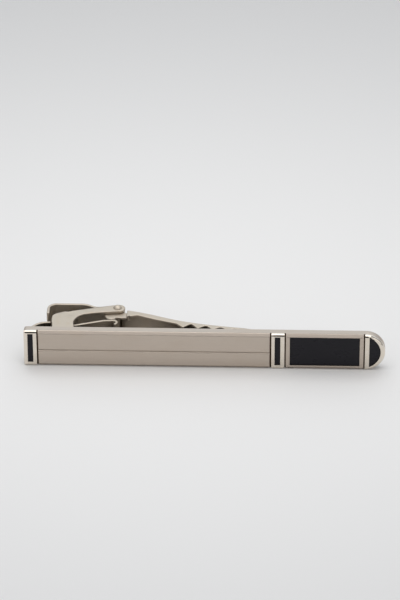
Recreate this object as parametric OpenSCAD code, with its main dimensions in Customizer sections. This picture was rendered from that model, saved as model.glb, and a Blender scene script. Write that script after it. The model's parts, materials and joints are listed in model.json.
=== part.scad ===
// Tie bar with a sprung alligator clip on its back.
// Frame: origin at the middle of the bottom edge that the bar stands on, +X along the bar
// towards its round tip, -Y out of the decorated face, +Z up. All sizes in millimetres.
// Clip shapes are drawn in a side plane: first number along the bar from its square end,
// second number straight out from the bar's back.

/* [Bar] */
// Length of the bar over both ends
bar_length = 58; // [46:0.5:72]
// Height of the decorated face
bar_height = 6.4; // [5.2:0.1:8.5]
// Thickness of the bar, facings included
bar_thickness = 1.9; // [1.5:0.1:2.6]
// Thickness of the facings that are fixed to the front of the bar
facing_thickness = 0.6; // [0.5:0.05:0.7]
// Bevel round the front edge of the facings
front_bevel = 0.45; // [0.2:0.05:0.45]
// Bevel along the back edges of the bar
back_bevel = 0.25; // [0.05:0.05:0.3]
// Corner radius at the square end
corner_radius = 0.6; // [0.2:0.1:1]

/* [Facings] */
// Length of the polished frame at the square end
left_frame_length = 2.1; // [1.9:0.1:3]
// Length of the polished ring between the long facing and the panel
ring_length = 2.1; // [1.8:0.05:2.6]
// Length of the panel frame
panel_length = 12.45; // [9:0.05:16]
// Length of the polished frame at the round tip
tip_length = 3.25; // [3.1:0.05:3.4]
// Gap between two neighbouring facings
facing_gap = 0.22; // [0.1:0.02:0.4]
// Width of the groove along the long facing
groove_width = 0.36; // [0.2:0.02:0.6]
// Depth of the groove along the long facing
groove_depth = 0.22; // [0.1:0.02:0.3]
// How far the groove lies below the middle of the face
groove_drop = 0.28; // [0:0.02:0.6]
// Bevel on the two short ends of the long facing
end_bevel = 0.12; // [0.05:0.01:0.2]

/* [Inlays] */
// Metal left above and below an inlay, before it is raised
inlay_margin = 0.62; // [0.62:0.02:1]
// How far the inlays lie above the middle of the face
inlay_raise = 0.12; // [0:0.02:0.12]
// Width of the inlay in the square end frame
left_inlay_width = 0.85; // [0.6:0.05:0.9]
// Metal between the square end and its inlay
left_inlay_offset = 0.65; // [0.6:0.05:0.9]
// Width of the inlay in the ring
ring_inlay_width = 0.92; // [0.5:0.02:1]
// Metal between the ring's side towards the square end and its inlay
ring_inlay_offset = 0.52; // [0.4:0.02:0.7]
// Metal left on each side of the panel's inlay
panel_side_margin = 0.65; // [0.5:0.05:1.5]
// Metal strip between the tip frame's straight side and its inlay
tip_strip_width = 0.7; // [0.5:0.02:1]
// Metal between the tip inlay and the end of the round tip
tip_inlay_margin = 0.75; // [0.6:0.05:1]
// How much smaller the tip inlay's radius is than the bar's own round end
tip_inlay_easing = 0.3; // [0.3:0.05:0.5]
// Thickness of the inlays
inlay_thickness = 0.22; // [0.15:0.01:0.3]
// How far the inlays lie below the front face
inlay_recess = 0.2; // [0.05:0.01:0.25]
// Gap round each inlay in its pocket
inlay_gap = 0.02; // [0.01:0.01:0.05]

/* [Clip] */
// How far the clip stays in from the long edges of the bar
clip_inset = 0.6; // [0.5:0.05:1]
// Distance from the square end to the pivot
pivot_along = 14.68; // [13.5:0.02:18]
// Distance from the back of the bar to the pivot
pivot_out = 6.95; // [6.8:0.05:7.6]
// Sheet thickness of the bracket
bracket_sheet = 0.5; // [0.4:0.05:0.6]
// Sheet thickness of the jaw
jaw_sheet = 0.45; // [0.4:0.05:0.55]
// Strip thickness of the leaf spring
spring_sheet = 0.42; // [0.3:0.02:0.45]
// Distance from the pivot to the left wall of the bracket
bracket_reach = 10.45; // [10.2:0.05:10.6]
// Length of the bracket's foot on the bar
bracket_foot = 3.5; // [3:0.1:4]
// Radius of the rounded ends of the bracket cheeks
cheek_end_radius = 1.05; // [1:0.05:1.2]
// How far the centre of the rounded ends lies past the pivot
cheek_end_shift = 0.2; // [0:0.05:0.25]
// Radius of the shallow round dimple in each cheek
dimple_radius = 0.95; // [0.5:0.05:1.1]
// Depth of that dimple
dimple_depth = 0.1; // [0.05:0.01:0.2]
// Radius of the rivet
rivet_radius = 0.55; // [0.45:0.05:0.65]
// Radius of the rivet heads
rivet_head_radius = 0.72; // [0.7:0.01:0.9]
// Height of the rivet heads
rivet_head_height = 0.42; // [0.2:0.02:0.44]

/* [Jaw] */
// Distance from the pivot to the tip of the jaw
jaw_reach = 26.5; // [24:0.1:28]
// Distance from the pivot to the outside of the hooked end of the thumb tab
tab_reach = 11.4; // [11.35:0.05:11.6]
// Height of the thumb tab's outer face over the pivot
tab_rise = 1.22; // [1.2:0.02:1.6]
// Bend radius of the tab's hooked end, outside
hook_radius = 1.5; // [0.8:0.05:1.6]
// Depth of the hooked end below the tab's outer face
hook_depth = 3.2; // [2:0.1:3.3]
// Number of notches between the teeth
notch_count = 4; // [2:1:4]
// Spacing of the teeth
tooth_pitch = 2.41; // [2:0.01:2.6]
// Distance from the pivot to the first notch
first_notch = 12.1; // [11.8:0.1:12.6]
// Gap between the jaw's tip and the bar when the clip is closed
closed_gap = 0.04; // [0.02:0.01:0.2]

/* [Fits] */
// Radial clearance of the jaw on the rivet
pivot_clearance = 0.05; // [0.02:0.01:0.1]
// Side clearance between the jaw's ears and the cheeks
ear_clearance = 0.06; // [0.03:0.01:0.12]
// Side clearance between the leaf spring and the cheeks
spring_clearance = 0.12; // [0.05:0.01:0.25]
// Gap between the leaf spring and the jaw's heel when the clip is closed
heel_clearance = 0.03; // [0.02:0.01:0.1]

/* [Hidden] */

$fn = 64;
round_facets = 96;                       // of the round tip and the dimples
satin_metal = [0.66, 0.62, 0.57];
polished_metal = [0.80, 0.77, 0.72];
inlay_black = [0.14, 0.14, 0.16];
steps = 12;                              // straight pieces in each bend or curve
over = 1;                                // how far cutting tools pass the metal

// bar layers, from the front face to the back face
front_y = -bar_thickness / 2;
back_y = bar_thickness / 2;
facing_back_y = front_y + facing_thickness;
left_x = -bar_length / 2;
right_x = bar_length / 2;
tip_radius = bar_height / 2;
mid_z = bar_height / 2;
groove_z = mid_z - groove_drop;

// facings, from the round tip back to the square end
tip_start = right_x - tip_length;
panel_end = tip_start - facing_gap;
panel_start = panel_end - panel_length;
ring_end = panel_start - facing_gap;
ring_start = ring_end - ring_length;
main_end = ring_start - facing_gap;
left_frame_end = left_x + left_frame_length;
main_start = left_frame_end + facing_gap;

// clip, measured across the bar
clip_low = clip_inset;
clip_high = bar_height - clip_inset;
cheek_low = clip_low + bracket_sheet;    // inner face of the lower cheek
cheek_high = clip_high - bracket_sheet;  // inner face of the upper cheek
ear_low = cheek_low + ear_clearance;
ear_high = cheek_high - ear_clearance;
spring_low = cheek_low + spring_clearance;
spring_high = cheek_high - spring_clearance;

// bracket outline
wall_at = pivot_along - bracket_reach;   // outside of the left wall
foot_start = wall_at + 0.3;
foot_end = foot_start + bracket_foot;
window_out = 3.3;                        // the spring passes in below this height
wall_bend_out = 4;                       // the left wall starts to bend over here
roof_start = [wall_at + 2.6, pivot_out - 1.1];
cheek_end = [pivot_along + cheek_end_shift, pivot_out - 0.05];
dimple_at = [wall_at + 2.9, pivot_out - 2.1];
cheek_brow = [pivot_along - 2.7, pivot_out + 0.3];      // where the edge meets the round end
arm_near = [pivot_along - 3.6, pivot_out - 1.6];        // inner edge, at the arm's thick end

// leaf spring: lower leaf, hairpin bend, ramp, long upper leaf, curled free end
spring_bend = 0.62;                      // outer radius of the hairpin bend
spring_turn = 1.05;                      // where the hairpin bend starts, along the bar
bend_opening = 148;                      // angle at which the hairpin bend ends
curl_radius = 0.62;                      // of the free end
heel_radius = 1;                         // of the jaw's heel that the leaf pushes
heel = [pivot_along - 0.95, pivot_out - 1.62];
leaf_top = heel[1] - heel_radius - heel_clearance;

// jaw
tab_out = pivot_out + tab_rise;          // outer face of the thumb tab
tab_mid = tab_out - jaw_sheet / 2;
hook_at = pivot_along - tab_reach;       // outside of the hooked end
hook_mid = hook_radius - jaw_sheet / 2;
hump_radius = tab_mid - pivot_out;       // web bends round the pivot at this radius
hump_end = -14;                          // and leaves the pivot at this angle
hollow_radius = 0.55;                    // then bends back into the arm at this one
arm_fall = 13.9;                         // slope of the arm where it starts, in degrees
neck_at = pivot_along - 3.2;             // from here on the jaw runs between the cheeks
shoulder_at = cheek_end[0] + cheek_end_radius + 0.35;
jaw_tip = [pivot_along + jaw_reach, closed_gap + jaw_sheet / 2];
tip_width = bar_height - 2 * clip_inset - 0.7;
tip_nose = 0.6;                          // length of the jaw's flat end past its side walls
wall_crest = [shoulder_at + 1.75, pivot_out - 2.2];     // highest point of the side wall's edge
wall_slope = [pivot_along + 6.1, pivot_out - 3.4];      // from here it falls to the teeth
jog_length = 0.55;                       // sheet that joins an ear to its side wall
jog_out = [pivot_out - 2.5, pivot_out - 0.95];
tooth_lean = 0.55;                       // share of a notch on its long side

// ---------- points along curves ----------

function polar(centre, radius, angle) =
    centre + radius * [cos(angle), sin(angle)];

function arc(centre, radius, from, to, n = steps) =
    [for (i = [0:n]) polar(centre, radius, from + (to - from) * i / n)];

function curve(a, b, c, d, n = steps) =
    [for (i = [0:n]) let (t = i / n, s = 1 - t)
        s * s * s * a + 3 * s * s * t * b + 3 * s * t * t * c + t * t * t * d];

function unit(v) = v / norm(v);

function left_of(path, i) =
    let (d = unit(path[min(i + 1, len(path) - 1)] - path[max(i - 1, 0)])) [-d[1], d[0]];

// a path moved sideways, to its left when distance is positive
function beside(path, distance) =
    [for (i = [0:len(path) - 1]) path[i] + distance * left_of(path, i)];

function reversed(path) = [for (i = [len(path) - 1:-1:0]) path[i]];

// points without those that repeat the one before
function distinct(path) =
    [for (i = [0:len(path) - 1]) if (i == 0 || norm(path[i] - path[i - 1]) > 0.001) path[i]];

// closed outline of a bent sheet of the given thickness along its middle line
function sheet_outline(path, thickness) =
    let (p = distinct(path))
    concat(beside(p, thickness / 2), reversed(beside(p, -thickness / 2)));

// ---------- helpers ----------

// places clip parts: side-plane shapes behind the bar, spread from low to high across it
module on_back() {
    translate([left_x, back_y, 0]) children();
}

module across(low, high) {
    translate([0, 0, low]) linear_extrude(height = high - low) children();
}

// a shape drawn as (along, across) and made solid from out_low to out_high
module outward(out_low, out_high) {
    translate([0, out_high, 0]) rotate([90, 0, 0])
        linear_extrude(height = out_high - out_low) children();
}

module span(x_low, x_high) {
    translate([x_low, -bar_thickness, -over])
        cube([x_high - x_low, 2 * bar_thickness, bar_height + 2 * over]);
}

// a layer of the bar between two depths, with bevels of its own at front and back
module bar_layer(y_low, y_high, bevel_low, bevel_high) {
    side = [[y_low, bevel_low], [y_low, bar_height - bevel_low],
            [y_low + bevel_low, bar_height], [y_high - bevel_high, bar_height],
            [y_high, bar_height - bevel_high], [y_high, bevel_high],
            [y_high - bevel_high, 0], [y_low + bevel_low, 0]];
    turn = [[0, y_low], [tip_radius - bevel_low, y_low], [tip_radius, y_low + bevel_low],
            [tip_radius, y_high - bevel_high], [tip_radius - bevel_high, y_high],
            [0, y_high]];
    plan = [[left_x, y_low + bevel_low], [left_x + bevel_low, y_low],
            [right_x + over, y_low], [right_x + over, y_high],
            [left_x + bevel_high, y_high], [left_x, y_high - bevel_high]];
    tip_x = right_x - tip_radius;
    intersection() {
        union() {
            translate([left_x, 0, 0]) rotate([90, 0, 90])
                linear_extrude(height = tip_x - left_x) polygon(side);
            intersection() {
                translate([tip_x, 0, mid_z]) rotate([-90, 0, 0])
                    rotate_extrude($fn = round_facets) polygon(turn);
                span(tip_x, right_x + over);
            }
        }
        translate([0, 0, -over]) linear_extrude(height = bar_height + 2 * over) polygon(plan);
        outward(-bar_thickness, bar_thickness) square_end();
    }
}

// outline of the bar seen from the front, with rounded corners at the square end only
module square_end() {
    for (z = [corner_radius, bar_height - corner_radius])
        translate([left_x + corner_radius, z]) circle(r = corner_radius, $fn = 32);
    translate([left_x, corner_radius])
        square([bar_length + over, bar_height - 2 * corner_radius]);
    translate([left_x + corner_radius, 0]) square([bar_length + over, bar_height]);
}

module facing(x_low, x_high) {
    intersection() {
        bar_layer(front_y, facing_back_y, front_bevel, 0);
        span(x_low, x_high);
    }
}

// a box let into the front face, grown by slack on its four sides
module front_box(x_low, x_high, y_low, y_high, slack) {
    translate([x_low - slack, y_low, inlay_margin + inlay_raise - slack])
        cube([x_high - x_low + 2 * slack, y_high - y_low,
              bar_height - 2 * inlay_margin + 2 * slack]);
}

// the D shape of the tip inlay, grown by slack
module tip_d(y_low, y_high, slack) {
    round_radius = tip_radius - tip_inlay_easing;
    intersection() {
        translate([right_x - tip_inlay_margin - round_radius, y_low, mid_z + inlay_raise])
            rotate([-90, 0, 0])
                cylinder(r = round_radius + slack, h = y_high - y_low, $fn = round_facets);
        span(tip_start + tip_strip_width - slack, right_x);
    }
}

pocket_y = front_y + inlay_recess + inlay_thickness;
inlay_front_y = front_y + inlay_recess;

left_inlay_x = left_x + left_inlay_offset;
ring_inlay_x = ring_start + ring_inlay_offset;
panel_inlay_x = panel_start + panel_side_margin;
panel_inlay_width = panel_length - 2 * panel_side_margin;

// a facing with a pocket for a straight inlay
module framed_facing(x_low, x_high, inlay_x, inlay_width) {
    difference() {
        facing(x_low, x_high);
        front_box(inlay_x, inlay_x + inlay_width, front_y - over, pocket_y, inlay_gap);
    }
}

module inlay(inlay_x, inlay_width) {
    front_box(inlay_x, inlay_x + inlay_width, inlay_front_y, pocket_y, 0);
}

// ---------- the decorated bar ----------

module backing_bar() {
    color(satin_metal) bar_layer(facing_back_y, back_y, 0, back_bevel);
}

module left_end_frame() {
    color(polished_metal)
        framed_facing(left_x, left_frame_end, left_inlay_x, left_inlay_width);
}

module left_end_inlay() {
    color(inlay_black) inlay(left_inlay_x, left_inlay_width);
}

// V-shaped cutter for the groove along the long facing
module groove() {
    translate([main_start - over, 0, 0]) rotate([90, 0, 90])
        linear_extrude(height = main_end - main_start + 2 * over)
            polygon([[front_y, groove_z - groove_width / 2],
                     [front_y + groove_depth, groove_z],
                     [front_y, groove_z + groove_width / 2], [front_y - over, groove_z]]);
}

// wedge that bevels a short end; side is 1 at the square end and -1 towards the tip
module end_wedge(x, side) {
    translate([0, 0, -over]) linear_extrude(height = bar_height + 2 * over)
        polygon([[x - side * over, front_y - over], [x + side * (end_bevel + over), front_y - over],
                 [x + side * end_bevel, front_y], [x, front_y + end_bevel],
                 [x - side * over, front_y + end_bevel]]);
}

module main_facing() {
    color(satin_metal) difference() {
        facing(main_start, main_end);
        groove();
        end_wedge(main_start, 1);
        end_wedge(main_end, -1);
    }
}

module ring_frame() {
    color(polished_metal)
        framed_facing(ring_start, ring_end, ring_inlay_x, ring_inlay_width);
}

module ring_inlay() {
    color(inlay_black) inlay(ring_inlay_x, ring_inlay_width);
}

module panel_frame() {
    color(satin_metal)
        framed_facing(panel_start, panel_end, panel_inlay_x, panel_inlay_width);
}

module panel_inlay() {
    color(inlay_black) inlay(panel_inlay_x, panel_inlay_width);
}

module tip_frame() {
    color(polished_metal) difference() {
        facing(tip_start, right_x);
        tip_d(front_y - over, pocket_y, inlay_gap);
    }
}

module tip_inlay() {
    color(inlay_black) tip_d(inlay_front_y, pocket_y, 0);
}

// ---------- the clip ----------

pivot = [pivot_along, pivot_out];

// bend from the bracket's left wall into the edge over the cheeks
wall_bend = curve([wall_at, wall_bend_out], [wall_at, wall_bend_out + 0.75],
                  roof_start - [1.8, 0.65], roof_start);

// outer edge of the cheeks, from the bar's back round to the top of the rounded end
cheek_far = concat(
    [[foot_start, 0], [wall_at, window_out - 0.6]], wall_bend,
    [cheek_brow], arc(cheek_end, cheek_end_radius, 105, 90, 2));

// inner edge, from the rounded end back to the foot
cheek_near = concat(
    arc(cheek_end, cheek_end_radius, -70, -90, 2),
    [[pivot_along - 1.2, pivot_out - 1.25], arm_near],
    curve(arm_near - [1.3, 0.35], [foot_end + 0.6, arm_near[1] - 0.55],
          [foot_end - 0.1, arm_near[1] - 1.7], [foot_end - 0.25, 2.4]),
    [[foot_end, 0]]);

module cheek_outline() {
    polygon(concat(cheek_far, cheek_near));
    translate(cheek_end) circle(r = cheek_end_radius);
}

// wall between the cheeks, along their outer edge
wall_path = distinct(concat([[wall_at, window_out]], wall_bend, [roof_start + [1.5, 0.4]]));

module wall_outline() {
    polygon(concat(wall_path, reversed(beside(wall_path, -bracket_sheet))));
}

// shallow dish sunk into a cheek; side is 1 on the upper cheek and -1 on the lower one
module dimple(z, side) {
    dish_radius = (dimple_radius * dimple_radius + dimple_depth * dimple_depth)
                  / (2 * dimple_depth);
    translate([dimple_at[0], dimple_at[1], z + side * (dish_radius - dimple_depth)])
        sphere(r = dish_radius, $fn = round_facets);
}

module clip_bracket() {
    color(polished_metal) on_back() difference() {
        union() {
            across(clip_low, cheek_low) cheek_outline();
            across(cheek_high, clip_high) cheek_outline();
            across(clip_low, clip_high) wall_outline();
            across(clip_low, clip_high)
                translate([foot_start, 0]) square([bracket_foot, bracket_sheet]);
        }
        dimple(clip_high, 1);
        dimple(clip_low, -1);
        across(-over, bar_height + over) translate(pivot) circle(r = rivet_radius);
    }
}

// middle line of the leaf spring, from the end of its lower leaf to its curled free end
half_leaf = spring_sheet / 2;
bend_centre = [spring_turn + spring_bend, spring_bend];
curl_centre = [heel[0] + 0.35, leaf_top - half_leaf - curl_radius];
ramp_end = [wall_at - 0.1, window_out - half_leaf - 0.84];
spring_path = concat(
    [[wall_at - 0.15, half_leaf]],
    arc(bend_centre, spring_bend - half_leaf, 270, bend_opening),
    curve(bend_centre + [0, 0.6], bend_centre + [0.45, 1.2], ramp_end - [1.5, 0.15], ramp_end),
    [[foot_end, ramp_end[1] + 0.15]],
    [curl_centre + [-1.6, curl_radius - 0.16]],
    arc(curl_centre, curl_radius, 90, -70));

module leaf_spring() {
    color(satin_metal) on_back() intersection() {
        across(clip_low, clip_high) polygon(sheet_outline(spring_path, spring_sheet));
        outward(-over, pivot_out) union() {
            translate([0, clip_low]) square([wall_at - 0.1, clip_high - clip_low]);
            translate([0, spring_low]) square([pivot_along + 3, spring_high - spring_low]);
        }
    }
}

// domed head that stands out of a cheek; side is 1 on top and -1 below
module rivet_head(z, side) {
    dome_radius = (rivet_head_radius * rivet_head_radius
                   + rivet_head_height * rivet_head_height) / (2 * rivet_head_height);
    intersection() {
        translate([0, 0, z + side * (rivet_head_height - dome_radius)])
            sphere(r = dome_radius);
        translate([0, 0, side > 0 ? z : z - rivet_head_height])
            cylinder(r = rivet_head_radius, h = rivet_head_height);
    }
}

module hinge_rivet() {
    color(polished_metal) on_back() translate([pivot_along, pivot_out, 0]) {
        translate([0, 0, clip_low]) cylinder(r = rivet_radius, h = clip_high - clip_low);
        rivet_head(clip_high, 1);
        rivet_head(clip_low, -1);
    }
}

// middle line of the jaw's sheet, from the hooked end over the pivot to the tip
hollow_centre = polar(pivot, hump_radius + hollow_radius, hump_end);
arm_start = polar(hollow_centre, hollow_radius, 270 - arm_fall);
arm_run = jaw_tip[0] - arm_start[0];
arm_drop = arm_start[1] - jaw_tip[1];
arm_path = curve(arm_start, arm_start + arm_run / 3 * [1, -tan(arm_fall)],
                 jaw_tip + [-0.78 * arm_run, 0.34 * arm_drop], jaw_tip, 2 * steps);
web_path = concat(
    [[hook_at + jaw_sheet / 2, tab_out - hook_depth]],
    arc([hook_at + hook_radius, tab_out - hook_radius], hook_mid, 180, 90),
    arc(pivot, hump_radius, 90, hump_end),
    arc(hollow_centre, hollow_radius, 180 + hump_end, 270 - arm_fall),
    arm_path);

// half width of the jaw at a distance along the bar, as points of its upper side
full_half = clip_high - mid_z;
ear_half = ear_high - mid_z;
tip_half = tip_width / 2;
half_plan = concat(
    [[hook_at - over, full_half], [neck_at - 3.4, full_half]],
    curve([neck_at - 2.6, full_half], [neck_at - 1.2, full_half],
          [neck_at - 1.0, ear_half], [neck_at, ear_half]),
    [[shoulder_at, ear_half], [shoulder_at, full_half]],
    [[jaw_tip[0] - 6, full_half]],
    curve([jaw_tip[0] - 1.6, tip_half], [jaw_tip[0] - tip_nose, tip_half],
          [jaw_tip[0], tip_half - 0.5], [jaw_tip[0], tip_half - 1.2]));

module jaw_plan() {
    translate([0, mid_z])
        polygon(concat(half_plan, reversed([for (p = half_plan) [p[0], -p[1]]])));
}

// side of an ear: round the pivot, down to the heel that the spring presses, and forward
module ear_outline() {
    translate(pivot) circle(r = hump_radius);
    translate(heel) circle(r = heel_radius);
    polygon([[neck_at, tab_mid], [neck_at + 0.8, pivot_out - 0.2],
             heel - [heel_radius, 0], heel - [0, heel_radius], heel + [0.9, -0.43],
             [shoulder_at + jog_length, jog_out[0]],
             [shoulder_at + jog_length, jog_out[1] - 0.2], pivot, [pivot_along, tab_mid]]);
}

// near edge of the side walls: deep behind the pivot, then teeth that get shorter
function notch_at(i) = pivot_along + first_notch + i * tooth_pitch;
function notch_root(i) = 2.33 - 0.5 * i + 0.035 * i * i;
function tooth_end(i) = max(1.13 - 0.33 * i + 0.02 * i * i, 2 * closed_gap);
last_notch = notch_count - 1;
wall_edge = concat(
    [[shoulder_at, pivot_out - 2.6], wall_crest, wall_slope,
     [notch_at(0) - tooth_pitch, notch_root(0)]],
    [for (i = [0:last_notch]) each
        [[notch_at(i) - tooth_lean * tooth_pitch, tooth_end(i)], [notch_at(i), notch_root(i)]]],
    [[notch_at(last_notch) + (1 - tooth_lean) * tooth_pitch, tooth_end(notch_count)],
     [jaw_tip[0] - tip_nose, 2 * closed_gap]]);

module side_outline() {
    side_top = [for (p = arm_path) if (p[0] > shoulder_at) p];
    polygon(concat([[shoulder_at, side_top[0][1]]], side_top, reversed(wall_edge)));
}

module jaw() {
    color(polished_metal) on_back() difference() {
        union() {
            intersection() {
                across(clip_low, clip_high) polygon(sheet_outline(web_path, jaw_sheet));
                outward(-over, tab_out + over) jaw_plan();
            }
            intersection() {
                union() {
                    across(clip_low, clip_low + jaw_sheet) side_outline();
                    across(clip_high - jaw_sheet, clip_high) side_outline();
                }
                outward(-over, tab_out + over) jaw_plan();
            }
            across(ear_low, ear_low + jaw_sheet) ear_outline();
            across(ear_high - jaw_sheet, ear_high) ear_outline();
            for (low = [clip_low, ear_high - jaw_sheet])
                across(low, low + clip_high - ear_high + jaw_sheet)
                    translate([shoulder_at, jog_out[0]])
                        square([jog_length, jog_out[1] - jog_out[0]]);
        }
        across(-over, bar_height + over)
            translate(pivot) circle(r = rivet_radius + pivot_clearance);
    }
}

backing_bar();
left_end_frame();
left_end_inlay();
main_facing();
ring_frame();
ring_inlay();
panel_frame();
panel_inlay();
tip_frame();
tip_inlay();
clip_bracket();
leaf_spring();
hinge_rivet();
jaw();
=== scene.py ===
import json
import math

import bmesh
import bpy
from mathutils import Matrix, Vector


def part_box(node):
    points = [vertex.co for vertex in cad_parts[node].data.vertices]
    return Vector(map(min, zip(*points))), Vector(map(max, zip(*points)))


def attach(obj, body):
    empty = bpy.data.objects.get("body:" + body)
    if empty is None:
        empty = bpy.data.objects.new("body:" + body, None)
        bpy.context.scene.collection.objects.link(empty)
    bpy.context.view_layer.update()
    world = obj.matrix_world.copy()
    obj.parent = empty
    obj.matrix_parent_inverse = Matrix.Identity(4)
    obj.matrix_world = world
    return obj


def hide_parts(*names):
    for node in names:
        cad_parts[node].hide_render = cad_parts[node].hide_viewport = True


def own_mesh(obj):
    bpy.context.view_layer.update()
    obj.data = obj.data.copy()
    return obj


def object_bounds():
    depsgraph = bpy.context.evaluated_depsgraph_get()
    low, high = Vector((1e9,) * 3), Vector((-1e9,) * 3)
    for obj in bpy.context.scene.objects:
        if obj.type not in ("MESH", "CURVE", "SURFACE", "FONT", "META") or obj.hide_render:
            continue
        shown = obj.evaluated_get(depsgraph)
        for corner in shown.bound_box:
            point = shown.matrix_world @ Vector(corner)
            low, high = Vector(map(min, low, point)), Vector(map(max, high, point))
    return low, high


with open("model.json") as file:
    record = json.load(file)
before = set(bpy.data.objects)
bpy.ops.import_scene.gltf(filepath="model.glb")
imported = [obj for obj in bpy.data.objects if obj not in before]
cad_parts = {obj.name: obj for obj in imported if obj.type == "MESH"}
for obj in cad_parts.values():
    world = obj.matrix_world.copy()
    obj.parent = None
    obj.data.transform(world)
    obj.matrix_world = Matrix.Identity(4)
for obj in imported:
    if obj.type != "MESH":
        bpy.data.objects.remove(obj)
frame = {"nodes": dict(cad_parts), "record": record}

CAD_LOW, CAD_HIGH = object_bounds()
MM = 0.001

# ---------- the frame, in metres ----------
BODY_OF = {node: body for body, nodes in frame["record"]["behaviour"]["bodies"].items()
           for node in nodes}
BACK_LOW, BACK_HIGH = (Vector(corner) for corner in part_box("backing_bar"))
BAR_SEAM = BACK_LOW.y            # the facings are fixed to this one

# ---------- camera ----------
# It looks along +Y and down on the bar, with the round tip turned slightly nearer.
LENS = 204.0                     # focal length in mm, on a sensor SENSOR mm wide
SENSOR = 36.0
DISTANCE = 545.8 * MM
ELEVATION = math.radians(30.68)
YAW = math.radians(1.94)
ROLL = math.radians(0.22)
AIM_AT = Vector((0.0, 0.1 * MM, 3.25 * MM))
AIM_RIGHT, AIM_UP = -0.67 * MM, 7.60 * MM

# ---------- light ----------
KEY_SIZE = (180 * MM, 150 * MM)
KEY_PLACE = Vector((-6 * MM, 14 * MM, 130 * MM))
KEY_POWER = 0.125                # watts
KEY_COLOUR = (1.0, 0.985, 0.965)
FLOOR_REACH = 1.2                # metres from the middle to each side
FLOOR_COLOUR = (0.80, 0.80, 0.80)
ROOM = (0.36, 0.36, 0.37, 1)
BACK_CARD = (1.00, 1.06, 1.11, 1)
FRONT_CARDS = (0.95, 0.94, 0.93, 1)
DARK_GAP = (0.015, 0.013, 0.012, 1)
# The room's surfaces by direction: ahead along +Y, rise along +Z, aside either way along X.
# Each pair is where a surface begins to show and where it shows fully.
FRONT_FADE = (-0.10, -0.35)      # of ahead, everything on the camera's side
FOOT_FADE = (0.02, 0.12)         # of rise, at the foot of the front cards
HEAD_FADE = (0.80, 0.68)         # of rise, at their top
CARDS_FADE = (0.13, 0.26)        # of aside, from the dark gap to the front cards
BACK_FADE = (0.35, 0.70)         # of ahead, the card behind the bar
BACK_FOOT_FADE = (0.10, 0.35)    # of rise, at that card's foot

# ---------- colours ----------
SATIN = (0.545, 0.476, 0.411)
BRIGHT = (0.78, 0.72, 0.64)
CLIP = (0.545, 0.487, 0.412)
STRIP = tuple(channel * 0.97 for channel in CLIP)
# painted shade: the dark brown laid on the backing bar's face where the gaps between the facings
# show it
GAP_SHADE_BROWN = (0.055, 0.032, 0.018, 1.0)
# painted shade: the dark brown that the clip's recesses are darkened towards
RECESS_SHADE_BROWN = (0.045, 0.033, 0.024, 1.0)
ENAMEL = (0.0060, 0.0056, 0.0085, 1.0)
ENAMEL_GRAIN = (0.0110, 0.0102, 0.0150, 1.0)
ENAMEL_FLOW = (0.0085, 0.008, 0.011, 1.0)
SATIN_FILM = (0.97, 0.93, 0.88)  # the share of each channel that a stain lets through
BRIGHT_FILM = (0.95, 0.92, 0.87)
CLIP_FILM = (0.93, 0.88, 0.80)
RECESS_SHADE_FADE = (6.8 * MM, 5.2 * MM)  # along Y, from the clip's outside to its inside: where the painted shade in its recesses begins and where it is full

# ---------- edges ----------
SHARP = math.radians(28)         # edges sharper than this are rolled
FLAT = math.radians(0.6)         # facets closer in angle than this can be merged
WELD = 0.0005 * MM
FRONT_BEVEL = 0.45 * MM          # the facings' front bevel in the frame
BEVEL_STEPS = 8                  # facets in its quarter round
BEVEL_NORMAL_Y = (-0.9, -0.5)    # between these, a face belongs to that bevel
SAME_SIDE = 0.99                 # the cosine above which two bevel faces count as one


def make_camera():
    right = Vector((math.cos(YAW), math.sin(YAW), 0.0))
    ahead_flat = Vector((-math.sin(YAW), math.cos(YAW), 0.0))
    ahead = ahead_flat * math.cos(ELEVATION) - Vector((0, 0, 1)) * math.sin(ELEVATION)
    up = ahead_flat * math.sin(ELEVATION) + Vector((0, 0, 1)) * math.cos(ELEVATION)
    place = AIM_AT + right * AIM_RIGHT + up * AIM_UP - ahead * DISTANCE
    turned_right = right * math.cos(ROLL) - up * math.sin(ROLL)
    turned_up = right * math.sin(ROLL) + up * math.cos(ROLL)
    data = bpy.data.cameras.new("camera")
    data.lens = LENS
    data.sensor_width = SENSOR
    data.clip_start = 0.01
    data.clip_end = 20.0
    camera = bpy.data.objects.new("camera", data)
    bpy.context.collection.objects.link(camera)
    turned = Matrix((turned_right, turned_up, -ahead)).transposed().to_4x4()
    camera.matrix_world = Matrix.Translation(place) @ turned
    bpy.context.scene.camera = camera


# ---------- node helpers ----------

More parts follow.
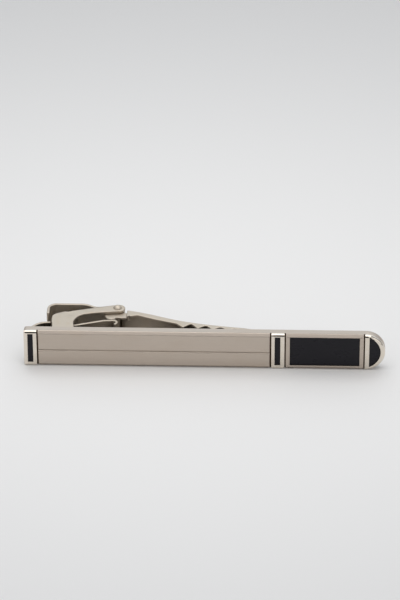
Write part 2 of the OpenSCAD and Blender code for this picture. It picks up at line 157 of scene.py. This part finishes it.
class Graph:
    """Short names for the few shader nodes that the materials are made of."""

    def __init__(self, tree):
        self.tree = tree

    def add(self, kind, **settings):
        node = self.tree.nodes.new(kind)
        for name, value in settings.items():
            setattr(node, name, value)
        return node

    def join(self, source, target):
        self.tree.links.new(source, target)

    def noise(self, vector, stretch, detail=2.0, roughness=0.5):
        """Noise whose features are 1 / stretch metres along each axis."""
        mapping = self.add("ShaderNodeMapping")
        mapping.inputs["Scale"].default_value = stretch
        self.join(vector, mapping.inputs["Vector"])
        noise = self.add("ShaderNodeTexNoise")
        noise.inputs["Scale"].default_value = 1.0
        noise.inputs["Detail"].default_value = detail
        noise.inputs["Roughness"].default_value = roughness
        self.join(mapping.outputs["Vector"], noise.inputs["Vector"])
        return noise.outputs["Fac"]

    def remap(self, value, low, high, to_low, to_high, smooth=False):
        node = self.add("ShaderNodeMapRange")
        if smooth:
            node.interpolation_type = "SMOOTHSTEP"
        for name, number in (("From Min", low), ("From Max", high),
                             ("To Min", to_low), ("To Max", to_high)):
            node.inputs[name].default_value = number
        self.join(value, node.inputs["Value"])
        return node.outputs["Result"]

    def maths(self, operation, *values):
        node = self.add("ShaderNodeMath", operation=operation)
        for socket, value in zip(node.inputs, values):
            if isinstance(value, (int, float)):
                socket.default_value = value
            else:
                self.join(value, socket)
        return node.outputs["Value"]

    def blend(self, amount, a, b):
        """Colour a where the amount is 0 and colour b where it is 1."""
        node = self.add("ShaderNodeMix", data_type="RGBA")
        self.join(amount, node.inputs["Factor"])
        for name, value in (("A", a), ("B", b)):
            socket = [s for s in node.inputs if s.name == name and s.type == "RGBA"][0]
            if isinstance(value, tuple):
                socket.default_value = value
            else:
                self.join(value, socket)
        return [s for s in node.outputs if s.type == "RGBA"][0]

    def fade(self, value, limits):
        """0 at the first limit, 1 at the second, and a smooth step between them."""
        return self.remap(value, *limits, 0.0, 1.0, smooth=True)

    def edge(self, radius):
        """1 along convex and concave edges, 0 on the faces between them."""
        bevel = self.add("ShaderNodeBevel", samples=6)
        bevel.inputs["Radius"].default_value = radius
        geometry = self.add("ShaderNodeNewGeometry")
        dot = self.add("ShaderNodeVectorMath", operation="DOT_PRODUCT")
        self.join(bevel.outputs["Normal"], dot.inputs[0])
        self.join(geometry.outputs["Normal"], dot.inputs[1])
        return self.remap(dot.outputs["Value"], 0.995, 0.88, 0.0, 1.0)


def new_material(name):
    material = bpy.data.materials.new(name)
    material.use_nodes = True
    graph = Graph(material.node_tree)
    shader = material.node_tree.nodes["Principled BSDF"]
    place = graph.add("ShaderNodeTexCoord").outputs["Object"]
    return material, graph, shader, place


def filtered(colour, film):
    """The colour seen through a film, with full alpha."""
    return tuple(channel * share for channel, share in zip(colour, film)) + (1.0,)


def tint(colour, amount):
    return filtered(colour, (amount, amount, amount))


def bump(graph, shader, layers):
    """Stacks bumps, each given as (height, depth in metres, strength)."""
    normal = None
    for height, depth, strength in layers:
        node = graph.add("ShaderNodeBump")
        node.inputs["Strength"].default_value = strength
        node.inputs["Distance"].default_value = depth
        graph.join(height, node.inputs["Height"])
        if normal is not None:
            graph.join(normal, node.inputs["Normal"])
        normal = node.outputs["Normal"]
    graph.join(normal, shader.inputs["Normal"])


# ---------- materials ----------

def satin_metal(name, colour, shade_gaps=False):
    """Nickel brushed along the bar, brighter at its edges. Its flag paints dark brown shade on
    what the gaps between the facings show.
    """
    material, graph, shader, place = new_material(name)
    streaks = graph.noise(place, (900, 26000, 26000), detail=3.0, roughness=0.6)
    bands = graph.noise(place, (70, 2600, 2600), detail=2.0)
    clouds = graph.noise(place, (160, 420, 420), detail=2.0)
    base = graph.blend(graph.remap(streaks, 0.3, 0.7, 0.0, 1.0),
                       tint(colour, 0.93), tint(colour, 1.05))
    base = graph.blend(graph.remap(bands, 0.35, 0.65, 0.0, 0.5), base, tint(colour, 0.97))
    base = graph.blend(graph.remap(clouds, 0.55, 0.75, 0.0, 0.35), base,
                       filtered(colour, SATIN_FILM))
    worn = graph.edge(0.12 * MM)
    base = graph.blend(graph.maths("MULTIPLY", worn, 0.35), base, tint(colour, 1.25))
    if shade_gaps:
        # Painted shade: the backing bar's front face, seen only through the gaps between the
        # facings, turns dark brown.
        depth = graph.add("ShaderNodeSeparateXYZ")
        graph.join(place, depth.inputs[0])
        gap_shade = graph.remap(depth.outputs["Y"], BAR_SEAM, BAR_SEAM + 0.02 * MM, 1.0, 0.0)
        base = graph.blend(gap_shade, base, GAP_SHADE_BROWN)
    graph.join(base, shader.inputs["Base Color"])
    rough = graph.maths("ADD", graph.remap(streaks, 0.3, 0.7, 0.33, 0.43),
                        graph.remap(clouds, 0.3, 0.7, -0.03, 0.04))
    rough = graph.maths("SUBTRACT", rough, graph.maths("MULTIPLY", worn, 0.07))
    graph.join(rough, shader.inputs["Roughness"])
    shader.inputs["Metallic"].default_value = 1.0
    shader.inputs["Anisotropic"].default_value = 0.55
    shader.inputs["Anisotropic Rotation"].default_value = 0.25
    around = graph.add("ShaderNodeTangent", direction_type="RADIAL", axis="X")
    graph.join(around.outputs["Tangent"], shader.inputs["Tangent"])
    bump(graph, shader, [(streaks, 0.004 * MM, 0.30), (bands, 0.012 * MM, 0.12)])
    return material


def polished_metal(name, colour):
    """Mirror nickel with a few hairlines and soft waves from the buffing wheel."""
    material, graph, shader, place = new_material(name)
    waves = graph.noise(place, (420, 520, 520), detail=1.0)
    hairs = graph.noise(place, (2500, 30000, 9000), detail=2.0)
    smears = graph.noise(place, (900, 1200, 1200), detail=3.0)
    base = graph.blend(graph.remap(smears, 0.35, 0.7, 0.0, 0.6), tint(colour, 1.0),
                       filtered(colour, BRIGHT_FILM))
    worn = graph.edge(0.10 * MM)
    base = graph.blend(graph.maths("MULTIPLY", worn, 0.3), base, tint(colour, 1.12))
    graph.join(base, shader.inputs["Base Color"])
    rough = graph.remap(smears, 0.3, 0.7, 0.05, 0.09)
    graph.join(graph.maths("ADD", rough, graph.remap(hairs, 0.62, 0.72, 0.0, 0.08)),
               shader.inputs["Roughness"])
    shader.inputs["Metallic"].default_value = 1.0
    bump(graph, shader, [(waves, 0.008 * MM, 0.10), (hairs, 0.001 * MM, 0.12)])
    return material


def clip_metal(name, colour, strip=False):
    """Stamped sheet, barrel tumbled and plated: soft dents, fine orange peel, and painted shade
    that browns its recesses.
    """
    material, graph, shader, place = new_material(name)
    dents = graph.noise(place, (900, 900, 900), detail=2.0)
    peel = graph.noise(place, (3200, 3200, 3200), detail=2.0)
    drawn = graph.noise(place, (1500, 1500, 16000) if strip else (1400, 9000, 9000), detail=2.0)
    base = graph.blend(graph.remap(peel, 0.35, 0.65, 0.0, 1.0),
                       tint(colour, 0.98), tint(colour, 1.02))
    base = graph.blend(graph.remap(dents, 0.5, 0.75, 0.0, 0.5), base,
                       filtered(colour, CLIP_FILM))
    worn = graph.edge(0.16 * MM)
    base = graph.blend(graph.maths("MULTIPLY", worn, 0.4), base, tint(colour, 1.15))
    # Painted shade: where ambient occlusion finds a recess on the clip's inner side, the colour
    # darkens towards a dark brown.
    recess_occlusion = graph.add("ShaderNodeAmbientOcclusion", samples=8)
    recess_occlusion.inputs["Distance"].default_value = 5.0 * MM
    recess_shade = graph.remap(recess_occlusion.outputs["AO"], 0.62, 0.22, 0.0, 0.95, smooth=True)
    depth = graph.add("ShaderNodeSeparateXYZ")
    graph.join(place, depth.inputs[0])
    inside = graph.fade(depth.outputs["Y"], RECESS_SHADE_FADE)
    recess_shade = graph.maths("MULTIPLY", recess_shade, inside)
    base = graph.blend(recess_shade, base, RECESS_SHADE_BROWN)
    graph.join(base, shader.inputs["Base Color"])
    rough = graph.maths("ADD", graph.remap(peel, 0.3, 0.7, 0.45, 0.52),
                        graph.remap(drawn, 0.3, 0.7, -0.02, 0.05))
    graph.join(graph.maths("SUBTRACT", rough, graph.maths("MULTIPLY", worn, 0.06)),
               shader.inputs["Roughness"])
    shader.inputs["Metallic"].default_value = 1.0
    bump(graph, shader, [(dents, 0.010 * MM, 0.10), (peel, 0.0006 * MM, 0.10),
                         (drawn, 0.0005 * MM, 0.10)])
    return material


def black_enamel(name):
    """Hard fired enamel, levelled and lightly polished, with faint pits and hairlines."""
    material, graph, shader, place = new_material(name)
    flow = graph.noise(place, (500, 700, 700), detail=2.0)
    grains = graph.noise(place, (14000, 14000, 14000), detail=2.0)
    lines = graph.noise(place, (1200, 30000, 30000), detail=2.0)
    base = graph.blend(graph.remap(grains, 0.4, 0.7, 0.0, 1.0), ENAMEL, ENAMEL_GRAIN)
    base = graph.blend(graph.remap(flow, 0.4, 0.7, 0.0, 0.6), base, ENAMEL_FLOW)
    graph.join(base, shader.inputs["Base Color"])
    rough = graph.maths("ADD", graph.remap(flow, 0.3, 0.7, 0.24, 0.34),
                        graph.remap(lines, 0.5, 0.7, 0.0, 0.06))
    graph.join(rough, shader.inputs["Roughness"])
    shader.inputs["Specular IOR Level"].default_value = 0.22
    bump(graph, shader, [(flow, 0.02 * MM, 0.15), (grains, 0.0015 * MM, 0.2),
                         (lines, 0.001 * MM, 0.2)])
    return material


def table_top(name):
    """Smooth pale card with a very faint tooth."""
    material, graph, shader, place = new_material(name)
    tooth = graph.noise(place, (2500, 2500, 2500), detail=3.0)
    drift = graph.noise(place, (9, 9, 9), detail=1.0)
    base = graph.blend(graph.remap(tooth, 0.3, 0.7, 0.0, 1.0),
                       tint(FLOOR_COLOUR, 1.0), tint(FLOOR_COLOUR, 0.992))
    base = graph.blend(graph.remap(drift, 0.4, 0.7, 0.0, 0.5), base,
                       tint(FLOOR_COLOUR, 0.985))
    graph.join(base, shader.inputs["Base Color"])
    shader.inputs["Roughness"].default_value = 0.62
    shader.inputs["Specular IOR Level"].default_value = 0.25
    return material


# ---------- stage ----------

def make_floor():
    mesh = bpy.data.meshes.new("floor")
    half = FLOOR_REACH
    mesh.from_pydata([(-half, -half, 0), (half, -half, 0), (half, half, 0), (-half, half, 0)],
                     [], [(0, 1, 2, 3)])
    floor = bpy.data.objects.new("floor", mesh)
    bpy.context.collection.objects.link(floor)
    mesh.materials.append(table_top("table"))


def make_light():
    data = bpy.data.lights.new("overhead_softbox", "AREA")
    data.shape = "RECTANGLE"
    data.size, data.size_y = KEY_SIZE
    data.energy = KEY_POWER
    data.color = KEY_COLOUR
    light = bpy.data.objects.new("overhead_softbox", data)
    light.location = KEY_PLACE
    bpy.context.collection.objects.link(light)


def make_world():
    """A grey room: a white card behind the bar, one each side of the camera, dark between."""
    world = bpy.data.worlds.new("studio")
    bpy.context.scene.world = world
    world.use_nodes = True
    graph = Graph(world.node_tree)
    background = world.node_tree.nodes["Background"]
    direction = graph.add("ShaderNodeTexCoord").outputs["Generated"]
    parts = graph.add("ShaderNodeSeparateXYZ")
    graph.join(direction, parts.inputs[0])
    ahead, rise = parts.outputs["Y"], parts.outputs["Z"]
    beside = graph.fade(graph.maths("ABSOLUTE", parts.outputs["X"]), CARDS_FADE)
    band = graph.maths("MULTIPLY", graph.fade(rise, HEAD_FADE), graph.fade(rise, FOOT_FADE))
    in_front = graph.maths("MULTIPLY", graph.fade(ahead, FRONT_FADE), band)
    dark = graph.maths("MULTIPLY", in_front, graph.maths("SUBTRACT", 1.0, beside))
    behind = graph.maths("MULTIPLY", graph.fade(ahead, BACK_FADE),
                         graph.fade(rise, BACK_FOOT_FADE))
    lit = graph.blend(behind, ROOM, BACK_CARD)
    lit = graph.blend(graph.maths("MULTIPLY", in_front, beside), lit, FRONT_CARDS)
    graph.join(graph.blend(dark, lit, DARK_GAP), background.inputs["Color"])
    background.inputs["Strength"].default_value = 1.0


# ---------- pieces ----------

def round_bevel(work):
    """Turns the flat bevel round a facing's front into a quarter round of the same size."""
    front = CAD_LOW[1]
    for step in range(1, BEVEL_STEPS):
        turn = math.radians(90) * step / BEVEL_STEPS
        level = front + FRONT_BEVEL * (1 - math.sin(turn))
        everything = work.verts[:] + work.edges[:] + work.faces[:]
        bmesh.ops.bisect_plane(work, geom=everything, dist=WELD / 5,
                               plane_co=(0, level, 0), plane_no=(0, 1, 0))
    work.normal_update()
    moves = []
    for vert in work.verts:
        depth = FRONT_BEVEL - (vert.co.y - front)
        outward = []
        for face in vert.link_faces:
            if BEVEL_NORMAL_Y[0] < face.normal.y < BEVEL_NORMAL_Y[1]:
                side = Vector((face.normal.x, 0, face.normal.z)).normalized()
                if all(side.dot(other) < SAME_SIDE for other in outward):
                    outward.append(side)
        if outward and 0 < depth < FRONT_BEVEL:
            swell = depth - FRONT_BEVEL + math.sqrt(FRONT_BEVEL ** 2 - depth ** 2)
            reach = sum(outward, Vector()) / len(outward)
            moves.append((vert, reach * (swell / reach.length_squared)))
    for vert, move in moves:
        vert.co += move


def finished(name, node_name, material, roll, segments=3, merge=False, rounded=False):
    """A CAD piece with its edges rolled, as plating leaves them.

    merge joins its flat facets first. rounded makes its front bevel a quarter round.
    """
    node = frame["nodes"][node_name]
    mesh = bpy.data.meshes.new(name)
    work = bmesh.new()
    work.from_mesh(node.data)
    work.transform(node.matrix_world)
    bmesh.ops.remove_doubles(work, verts=work.verts, dist=WELD)
    if merge:
        bmesh.ops.dissolve_limit(work, angle_limit=FLAT, verts=work.verts,
                                 edges=work.edges, use_dissolve_boundaries=False,
                                 delimit={"NORMAL"})
    if rounded:
        round_bevel(work)
    for face in work.faces:
        face.smooth = True
    work.to_mesh(mesh)
    work.free()
    piece = bpy.data.objects.new(name, mesh)
    bpy.context.collection.objects.link(piece)
    mesh.materials.append(material)
    rolled = piece.modifiers.new("rolled_edges", "BEVEL")
    rolled.width = roll
    rolled.segments = segments
    rolled.limit_method = "ANGLE"
    rolled.angle_limit = SHARP
    rolled.use_clamp_overlap = not merge
    level = piece.modifiers.new("level_faces", "WEIGHTED_NORMAL")
    level.weight = 100
    level.keep_sharp = True
    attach(piece, BODY_OF[node_name])
    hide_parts(node_name)
    return piece


make_camera()
make_floor()
make_light()
make_world()

satin = satin_metal("satin_nickel", SATIN)
satin_back = satin_metal("satin_nickel_back", SATIN, shade_gaps=True)
bright = polished_metal("polished_nickel", BRIGHT)
sheet = clip_metal("clip_nickel", CLIP)
strip = clip_metal("spring_nickel", STRIP, strip=True)
enamel = black_enamel("black_enamel")

finished("bar_back", "backing_bar", satin_back, roll=0.05 * MM)
finished("long_facing", "main_facing", satin, roll=0.07 * MM)
finished("panel_surround", "panel_frame", satin, roll=0.05 * MM)
for node_name in ("left_end_frame", "ring_frame", "tip_frame"):
    finished("bright_" + node_name, node_name, bright, roll=0.04 * MM,
             rounded=True)
for node_name in ("left_end_inlay", "ring_inlay", "panel_inlay", "tip_inlay"):
    finished("enamel_" + node_name, node_name, enamel, roll=0.02 * MM,
             segments=2)
finished("bracket", "clip_bracket", sheet, roll=0.15 * MM, merge=True)
finished("rivet", "hinge_rivet", sheet, roll=0.06 * MM, merge=True)
finished("toothed_lever", "jaw", sheet, roll=0.14 * MM, merge=True)
leaf = finished("leaf", "leaf_spring", strip, roll=0.13 * MM, merge=True)
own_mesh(leaf)

bpy.context.scene.view_settings.view_transform = "Standard"
